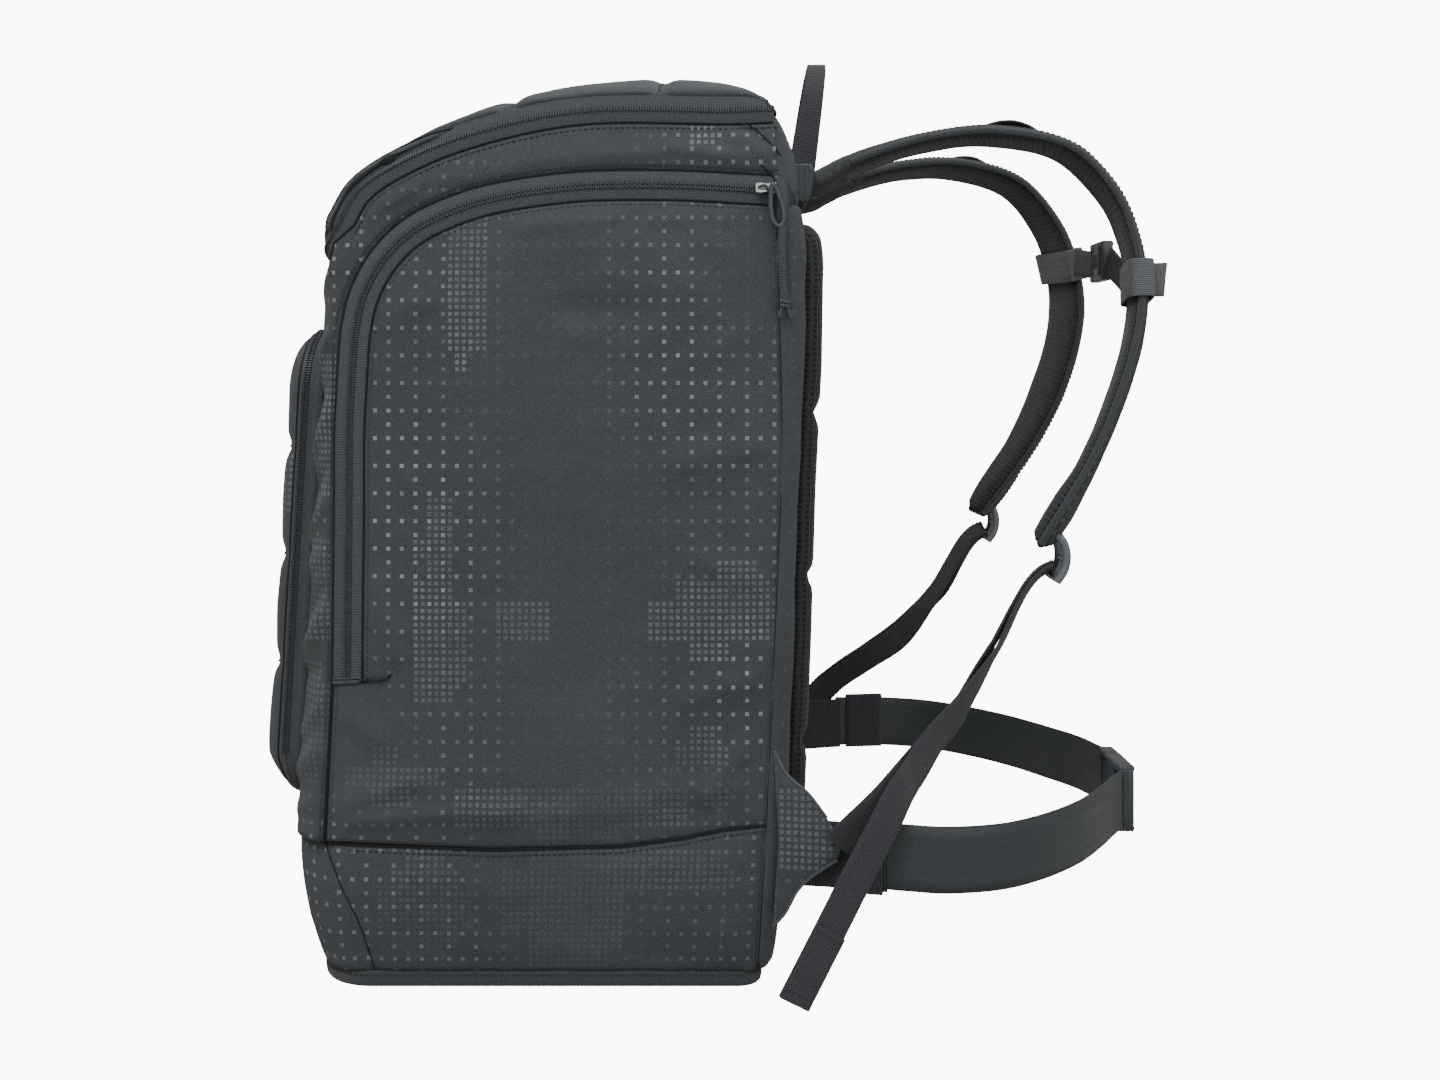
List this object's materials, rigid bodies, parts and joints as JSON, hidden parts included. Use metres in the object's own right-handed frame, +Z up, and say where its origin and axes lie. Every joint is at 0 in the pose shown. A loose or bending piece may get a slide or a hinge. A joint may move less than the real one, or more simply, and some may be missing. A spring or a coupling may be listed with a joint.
{
  "type": "ski boot bag",
  "caption": "Backpack with side boot compartments behind curved zip doors, domed lid, front pocket, padded shoulder straps, sternum strap and hip belt.",
  "frame": {"origin": "middle of the base panel's underside, on the surface that the bag stands on", "axes": "+X from the front pocket towards the wearer, +Y towards the wearer's left, +Z up"},
  "size_m": [0.5722, 0.4229, 0.5931],
  "materials": {
    "shell_fabric": "dark grey twill-woven polyester with a printed pattern of small lighter squares",
    "lining_fabric": "smooth dark grey lining",
    "spacer_mesh": "black spacer mesh over foam with a fabric face",
    "webbing": "dark grey ribbed polyester webbing",
    "zip_tape": "dark grey coil zip tape",
    "moulded_plastic": "satin dark grey moulded plastic",
    "slider_metal": "bright zinc zip slider",
    "frame_plastic": "black sheet"
  },
  "bodies": {
    "bag": {"base_panel": "shell_fabric", "base_binding": "webbing", "base_tub": "shell_fabric", "front_panel": "shell_fabric", "back_panel": "shell_fabric", "top_rear_panel": "shell_fabric", "frame_sheet": "frame_plastic", "back_pad": "spacer_mesh", "lid_zip": "zip_tape", "pocket_gusset": "shell_fabric", "strap_yoke": "webbing", "side_panel_right": "shell_fabric", "side_band_right": "shell_fabric", "door_zip_right": "zip_tape", "boot_divider_right": "lining_fabric", "hip_wing_right": "shell_fabric", "belt_anchor_right": "webbing", "belt_keeper_right": "webbing", "side_panel_left": "shell_fabric", "side_band_left": "shell_fabric", "door_zip_left": "zip_tape", "boot_divider_left": "lining_fabric", "hip_wing_left": "shell_fabric", "belt_anchor_left": "webbing"},
    "lid": {"lid_panel": "shell_fabric"},
    "pocket_flap": {"pocket_flap": "shell_fabric"},
    "haul_loop": {"haul_loop": "webbing"},
    "lid_slider": {"lid_slider": "slider_metal"},
    "lid_pull": {"lid_pull": "moulded_plastic"},
    "pocket_slider": {"pocket_slider": "slider_metal"},
    "pocket_pull": {"pocket_pull": "moulded_plastic"},
    "side_door_right": {"side_door_right": "shell_fabric"},
    "door_slider_right": {"door_slider_right": "slider_metal"},
    "door_pull_right": {"door_pull_right": "moulded_plastic", "door_pull_cord_right": "webbing"},
    "shoulder_right": {"shoulder_pad_right": "spacer_mesh", "ladder_lock_right": "moulded_plastic", "adjuster_webbing_right": "webbing", "webbing_tail_right": "webbing", "strap_loop_right": "webbing", "sternum_band_right": "webbing", "sternum_strap_right": "webbing", "sternum_buckle_socket": "moulded_plastic"},
    "belt_right": {"hip_belt_right": "webbing", "hip_buckle_socket": "moulded_plastic"},
    "side_door_left": {"side_door_left": "shell_fabric"},
    "door_slider_left": {"door_slider_left": "slider_metal"},
    "door_pull_left": {"door_pull_left": "moulded_plastic", "door_pull_cord_left": "webbing"},
    "shoulder_left": {"shoulder_pad_left": "spacer_mesh", "ladder_lock_left": "moulded_plastic", "adjuster_webbing_left": "webbing", "webbing_tail_left": "webbing", "strap_loop_left": "webbing", "sternum_band_left": "webbing", "sternum_strap_left": "webbing", "sternum_buckle_plug": "moulded_plastic"},
    "belt_left": {"hip_belt_left": "webbing", "hip_buckle_plug": "moulded_plastic", "belt_keeper_left": "webbing"}
  },
  "joints": [
    {"name": "lid_open", "type": "hinge", "parent": "bag", "child": "lid", "pos_m": [0.1355, 0, 0.533], "axis": [0, 1, 0], "range_deg": [0, 65]},
    {"name": "pocket_open", "type": "hinge", "parent": "bag", "child": "pocket_flap", "pos_m": [-0.1648, 0, 0.106], "axis": [0, -1, 0], "range_deg": [0, 90]},
    {"name": "haul_loop_swing", "type": "hinge", "parent": "bag", "child": "haul_loop", "pos_m": [0.159, 0, 0.5148], "axis": [0, 1, 0], "range_deg": [-20, 10]},
    {"name": "lid_slider_slide", "type": "slide", "parent": "bag", "child": "lid_slider", "axis": [0, 1, 0], "range_m": [-0.1, 0.1]},
    {"name": "lid_pull_tilt", "type": "hinge", "parent": "lid_slider", "child": "lid_pull", "pos_m": [-0.147, 0, 0.4435], "axis": [0, 1, 0], "range_deg": [0, 75]},
    {"name": "pocket_slider_slide", "type": "slide", "parent": "bag", "child": "pocket_slider", "axis": [0.0568, 0, 0.9984], "range_m": [0, 0.19]},
    {"name": "pocket_pull_tilt", "type": "hinge", "parent": "pocket_slider", "child": "pocket_pull", "pos_m": [-0.169, 0.154, 0.1465], "axis": [1, 0, 0], "range_deg": [0, 70]},
    {"name": "side_door_right_open", "type": "hinge", "parent": "bag", "child": "side_door_right", "pos_m": [0.13, -0.17, 0.484], "axis": [0.6485, 0, 0.7612], "range_deg": [0, 120]},
    {"name": "door_slider_right_slide", "type": "slide", "parent": "bag", "child": "door_slider_right", "axis": [-1, 0, 0], "range_m": [0, 0.11]},
    {"name": "door_pull_right_tilt", "type": "hinge", "parent": "door_slider_right", "child": "door_pull_right", "pos_m": [0.1355, -0.1772, 0.4845], "axis": [-1, 0, 0], "range_deg": [0, 70]},
    {"name": "shoulder_right_swing", "type": "hinge", "parent": "bag", "child": "shoulder_right", "pos_m": [0.177, -0.054, 0.507], "axis": [0.013, -0.3066, -0.9517], "range_deg": [0, 30]},
    {"name": "belt_right_swing", "type": "hinge", "parent": "bag", "child": "belt_right", "pos_m": [0.203, -0.1785, 0.083], "axis": [0, 0, -1], "range_deg": [0, 45]},
    {"name": "side_door_left_open", "type": "hinge", "parent": "bag", "child": "side_door_left", "pos_m": [0.13, 0.17, 0.484], "axis": [-0.6485, 0, -0.7612], "range_deg": [0, 120]},
    {"name": "door_slider_left_slide", "type": "slide", "parent": "bag", "child": "door_slider_left", "axis": [-1, 0, 0], "range_m": [0, 0.11]},
    {"name": "door_pull_left_tilt", "type": "hinge", "parent": "door_slider_left", "child": "door_pull_left", "pos_m": [0.1355, 0.1772, 0.4845], "axis": [1, 0, 0], "range_deg": [0, 70]},
    {"name": "shoulder_left_swing", "type": "hinge", "parent": "bag", "child": "shoulder_left", "pos_m": [0.177, 0.054, 0.507], "axis": [-0.013, -0.3066, 0.9517], "range_deg": [0, 30]},
    {"name": "belt_left_swing", "type": "hinge", "parent": "bag", "child": "belt_left", "pos_m": [0.203, 0.1785, 0.083], "axis": [0, 0, 1], "range_deg": [0, 45]}
  ],
  "couplings": [
    {"joint": "shoulder_left_swing", "follows": "shoulder_right_swing", "ratio": 1},
    {"joint": "belt_left_swing", "follows": "belt_right_swing", "ratio": 1}
  ]
}
